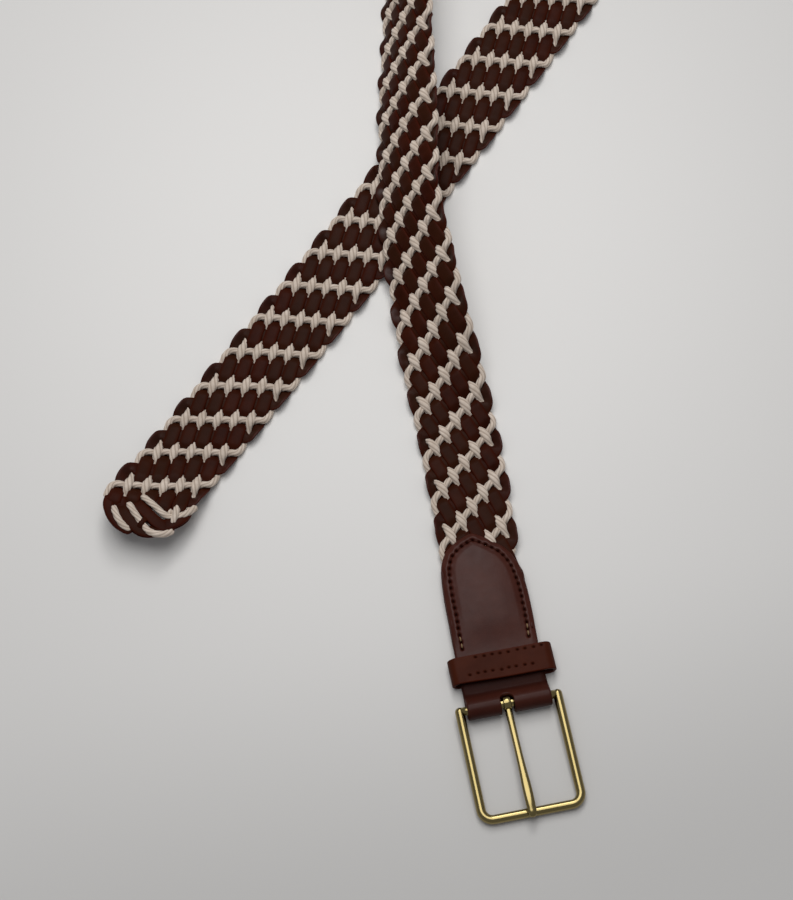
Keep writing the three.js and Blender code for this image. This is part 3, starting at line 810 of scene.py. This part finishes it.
def stitches():
    """Short lengths of thread between the holes, in one mesh."""
    points, quads, tan = [], [], []
    for k in range(len(stitch_spots) - 1):
        a, b = stitch_spots[k], stitch_spots[k + 1]
        share = np.linspace(0.16, 0.84, 5)
        spot = a[None] + (b - a)[None] * share[:, None]
        inside = inside_edge(spot[:, 0], spot[:, 1])
        z = leaf_top(spot[:, 0]) + tab_relief(spot[:, 0], spot[:, 1], inside) + THREAD_RISE
        middle = beside(spot[:, 0], spot[:, 1], z)
        side, up = axes_of(middle)
        angle = np.arange(6) * np.pi / 3
        ring = side[:, None] * np.cos(angle)[None, :, None] + up[:, None] * np.sin(angle)[None, :, None]
        ring = middle[:, None] + ring * THREAD_RADII[:, None, None]
        start = 30 * k
        points.append(ring.reshape(-1, 3))
        quads.append(sweep_faces(5, 6) + start)
        quads.append(np.array([[0, 5, 4, 3], [0, 3, 2, 1], [24, 25, 26, 27], [24, 27, 28, 29]]) + start)
        at_an_end = k < 2 or k > len(stitch_spots) - 4
        tan.append(np.full(30, 0.7 if at_an_end else 0.0))
    fields = {"tan": np.concatenate(tan)}
    return make("tab_thread", np.concatenate(points), np.concatenate(quads), (), fields, THREAD)


# ---- The keeper: a strip of leather lying round the neck as a flat loop ----
KEEPER_ROUND = 0.45  # radius of the strip's worn corners


def keeper():
    radius = (KEEPER_HEIGHT - KEEPER_LEATHER) / 2
    straight = KEEPER_HALF - KEEPER_LEATHER / 2 - radius
    centre = KEEPER_HEIGHT / 2
    top = np.linspace(straight, -straight, 92)
    bottom = np.linspace(-straight, straight, 24)
    bend = np.linspace(0, np.pi, 18)[1:-1]
    x = np.concatenate([top, -straight - radius * np.sin(bend), bottom, straight + radius * np.sin(bend)])
    z = np.concatenate([
        top * 0 + centre + radius, centre + radius * np.cos(bend), bottom * 0 + centre - radius,
        centre - radius * np.cos(bend)])
    out_x = np.concatenate([top * 0, -np.sin(bend), bottom * 0, np.sin(bend)])
    out_z = np.concatenate([top * 0 + 1, np.cos(bend), bottom * 0 - 1, -np.cos(bend)])
    half, thick, soft = KEEPER_LENGTH / 2, KEEPER_LEATHER / 2, KEEPER_ROUND
    turn = np.linspace(0, np.pi / 2, 5)
    outer_y = np.concatenate([-half + soft - soft * np.cos(turn), np.arange(-half + 0.9, half - 0.6, 0.4),
                              half - soft + soft * np.sin(turn)])
    outer_h = np.concatenate([thick - soft + soft * np.sin(turn), np.full(len(outer_y) - 10, thick),
                              thick - soft + soft * np.cos(turn)])
    inner_y = np.concatenate([
        half - soft + soft * np.cos(turn), [3, 0, -3], -half + soft - soft * np.sin(turn)])
    inner_h = -np.concatenate([
        thick - soft + soft * np.sin(turn), [thick] * 3, thick - soft + soft * np.cos(turn)])
    section_y, section_h = np.concatenate([outer_y, inner_y]), np.concatenate([outer_h, inner_h])
    y_middle = BAR_Y + KEEPER_AT + KEEPER_LENGTH / 2
    spots = [(-9.3 + 3.46 * k, -17.6) for k in range(9)] + [(-13.3 + 3.29 * k, -24.6) for k in range(9)]
    spots = np.array(spots) + rng.uniform(-0.25, 0.25, (18, 2))
    x = x * 1.015 + 0.75  # a little to the right of the middle
    narrow = 0.06 * step(4, -22, x)[:, None]  # narrower to the left
    grid_x = np.repeat(x[:, None], len(section_y), 1)
    grid_y = section_y[None] * (1 - narrow) + y_middle + narrow * half
    deep = dents(grid_x, grid_y, spots, np.tile([1.0, 0.0], (18, 1)), *KEEPER_HOLE)
    deep = deep * (out_z > 0.9)[:, None] * (section_h > 0.5)[None]
    height = section_h[None] - 0.6 * deep
    lean = 0.25 * np.sin(x * 0.11 + 0.6)[:, None] * (np.abs(section_y) / half)[None] * (out_z > 0.9)[:, None]
    rise = np.maximum(z[:, None] + out_z[:, None] * height - lean * 0.4, CLEAR)
    rings = np.stack([grid_x + out_x[:, None] * height, grid_y, rise], -1)
    edge = np.repeat(np.clip((np.abs(section_y) - 5.3) / 0.5, 0, 1)[None], len(x), 0)
    # painted shade in the stitch holes
    return tube("keeper_loop", rings, {"edge": edge, "painted_shade": np.clip(1.3 * deep, 0, 1)}, LOOP, True)


# ---- The buckle ----
WIRE_SIDES = 28


def frame_wire():
    """The wire from one arm's rounded end round both corners to the other's."""
    tilt = math.atan2(ROLL_RADIUS - WIRE_RADIUS, FRAME_DEPTH)
    depth = math.hypot(FRAME_DEPTH, ROLL_RADIUS - WIRE_RADIUS)
    upward = np.array([0, -math.sin(tilt), math.cos(tilt)])
    backward = np.array([0, math.cos(tilt), math.sin(tilt)])
    stations = []
    for degrees in (88, 78, 66, 54, 42, 30, 18, 8):
        angle = math.radians(degrees)
        stations.append((SIDE_X, depth + WIRE_RADIUS * math.sin(angle), 0, WIRE_RADIUS * math.cos(angle)))
    for behind in np.linspace(depth, CORNER_RADIUS + 1, 14):
        stations.append((SIDE_X, behind, 0, WIRE_RADIUS))
    for k in range(13):
        turn = -math.pi / 2 * k / 12
        right, behind = SIDE_X - CORNER_RADIUS * (1 - math.cos(turn)), CORNER_RADIUS * (1 + math.sin(turn))
        stations.append((right, behind, turn, WIRE_RADIUS))
    for right in np.linspace(SIDE_X - CORNER_RADIUS - 1, 0, 8):
        stations.append((right, 0, -math.pi / 2, WIRE_RADIUS))
    stations += [(-right, behind, -math.pi - turn, thick) for right, behind, turn, thick in stations[-2::-1]]
    angle = np.arange(WIRE_SIDES) * 2 * np.pi / WIRE_SIDES
    rings = []
    for right, behind, turn, radius in stations:
        middle = np.array([right, FAR_Y, WIRE_RADIUS]) + backward * behind
        outward = np.array([math.cos(turn), 0, 0]) + backward * math.sin(turn)
        rings.append(middle + radius * (np.cos(angle)[:, None] * outward + np.sin(angle)[:, None] * upward))
    return tube("frame_wire", np.array(rings), None, BRASS)


def frame_bar():
    angle = np.arange(WIRE_SIDES) * 2 * np.pi / WIRE_SIDES
    x = np.linspace(-SIDE_X, SIDE_X, 12)
    rings = np.stack(np.broadcast_arrays(
        x[:, None], BAR_Y + BAR_RADIUS * np.cos(angle)[None],
        ROLL_RADIUS + BAR_RADIUS * np.sin(angle)[None]), -1)
    return tube("frame_bar", rings, None, BRASS)


PRONG_WIDTH, PRONG_THICKNESS, PRONG_X = 3.2, 2.5, -0.8
PRONG_GAP = 0.3  # over the far arm, and round the bar
EYE_WALL = 0.8


def prong_shank():
    """The shank, humped over its outer half and bent down over the far arm at its tip."""
    seat = 2 * WIRE_RADIUS + PRONG_GAP + PRONG_THICKNESS / 2
    rows = []
    for reach, hump, width in ((0.055, 0, 0.95), (0.12, 0.15, 0.95), (0.3, 0.38, 0.93), (0.5, 0.6, 0.95),
                               (0.66, 0.85, 1.05), (0.77, 1, 1.2), (0.9, 0.8, 1.22)):
        height = ROLL_RADIUS + (seat - ROLL_RADIUS) * reach + hump * 0.9
        rows.append((BAR_Y - reach * FRAME_DEPTH, height, width))
    for wrap, width in ((0, 1.15), (0.33, 1.1), (0.67, 1.05), (0.97, 1)):
        angle = math.radians(48 * wrap)
        over, up_by = (seat - WIRE_RADIUS) * math.sin(angle), (seat - WIRE_RADIUS) * math.cos(angle)
        rows.append((FAR_Y - over, WIRE_RADIUS + up_by, width))
    line = smooth_path(rows, 0.7)
    middle = np.stack([np.full(len(line), PRONG_X), line[:, 0], line[:, 1]], -1)
    travel = travel_along(middle)
    past = np.clip(travel - travel[-1] + 1, 0, 1)  # over the last millimetre
    blunt = np.sqrt(np.clip(1 - 0.75 * past**2, 0, 1))
    side, up = axes_of(middle)
    angle = np.arange(24) * 2 * np.pi / 24
    p = np.sign(np.cos(angle)) * np.abs(np.cos(angle)) ** 0.8
    q = np.sign(np.sin(angle)) * np.abs(np.sin(angle)) ** 0.85
    wide = (line[:, 2] * PRONG_WIDTH / 2 * blunt)[:, None, None]
    high = (PRONG_THICKNESS / 2 * blunt)[:, None, None]
    rings = middle[:, None] + side[:, None] * p[None, :, None] * wide + up[:, None] * q[None, :, None] * high
    return tube("prong_shank", rings, None, BRASS)


def prong_eye():
    inner, outer, half = BAR_RADIUS + PRONG_GAP, BAR_RADIUS + PRONG_GAP + EYE_WALL, PRONG_WIDTH / 2
    section = np.array([
        (-half, inner + 0.1), (-half, outer - 0.25), (-half + 0.08, outer - 0.08), (-half + 0.25, outer),
        (0, outer + 0.04), (half - 0.25, outer), (half - 0.08, outer - 0.08), (half, outer - 0.25),
        (half, inner + 0.1), (half - 0.1, inner), (0, inner), (-half + 0.1, inner)])
    turn = np.arange(44) * 2 * np.pi / 44
    rings = np.stack(np.broadcast_arrays(
        PRONG_X + section[None, :, 0], BAR_Y + section[None, :, 1] * np.cos(turn)[:, None],
        ROLL_RADIUS + section[None, :, 1] * np.sin(turn)[:, None]), -1)
    return tube("prong_eye", rings, None, BRASS, True)


for piece, body, slot, node in (
    (tab(), "strap", "tab_leather", "buckle_tab"), (stitches(), "strap", "thread", "buckle_tab"),
    (keeper(), "strap", "tab_leather", "keeper"), (frame_wire(), "frame", "brass", "buckle_frame"),
    (frame_bar(), "frame", "brass", "buckle_frame"), (prong_shank(), "prong", "brass", "prong"),
    (prong_eye(), "prong", "brass", "prong"),
):
    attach(piece, body)
    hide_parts(node)

# ---- Surface, light and camera ----
SURFACE_HALF, SURFACE_Z = 3000, -0.05
corners = [(x * SURFACE_HALF, y * SURFACE_HALF, SURFACE_Z) for x, y in ((-1, -1), (1, -1), (1, 1), (-1, 1))]
floor = make("surface", corners, [(0, 1, 2, 3)], material=paper())


def lamp(name, place, target, size, power):
    """A round lamp in metres and watts, facing a target."""
    data = bpy.data.lights.new(name, "AREA")
    data.shape = "DISK"
    data.size = size
    data.energy = power
    thing = bpy.data.objects.new(name, data)
    thing.location = place
    thing.rotation_euler = (Vector(target) - Vector(place)).to_track_quat("-Z", "Y").to_euler()
    bpy.context.scene.collection.objects.link(thing)


lamp("window", (-0.1, 0.46, 1.45), (0, 0.2, 0), 1.4, 13.0)
lamp("doorway", (0.12, 0.72, 0.8), (0, 0, 0), 0.35, 2.0)
world = bpy.data.worlds.new("room")
world.use_nodes = True
world.node_tree.nodes["Background"].inputs[0].default_value = (0.95, 0.96, 1.0, 1)
world.node_tree.nodes["Background"].inputs[1].default_value = 0.25
bpy.context.scene.world = world
bpy.context.scene.view_settings.view_transform = "Standard"

CAMERA_AT = (-97.4, -290.5, 821.1)
CAMERA_VIEW = (0.0828, 0.4144, -0.9063)
CAMERA_RIGHT = (0.9806, -0.1959, 0)
camera = bpy.data.objects.new("camera", bpy.data.cameras.new("camera"))
camera.data.lens = 83
camera.data.sensor_width = 36
camera.data.clip_end = 20
bpy.context.scene.collection.objects.link(camera)
view = Vector(CAMERA_VIEW).normalized()
right = Vector(CAMERA_RIGHT).normalized()
up = right.cross(view).normalized()
rotation = Matrix((right, up, -view)).transposed()
camera.matrix_world = Matrix.Translation(Vector(CAMERA_AT) * MM) @ rotation.to_4x4()
bpy.context.scene.camera = camera
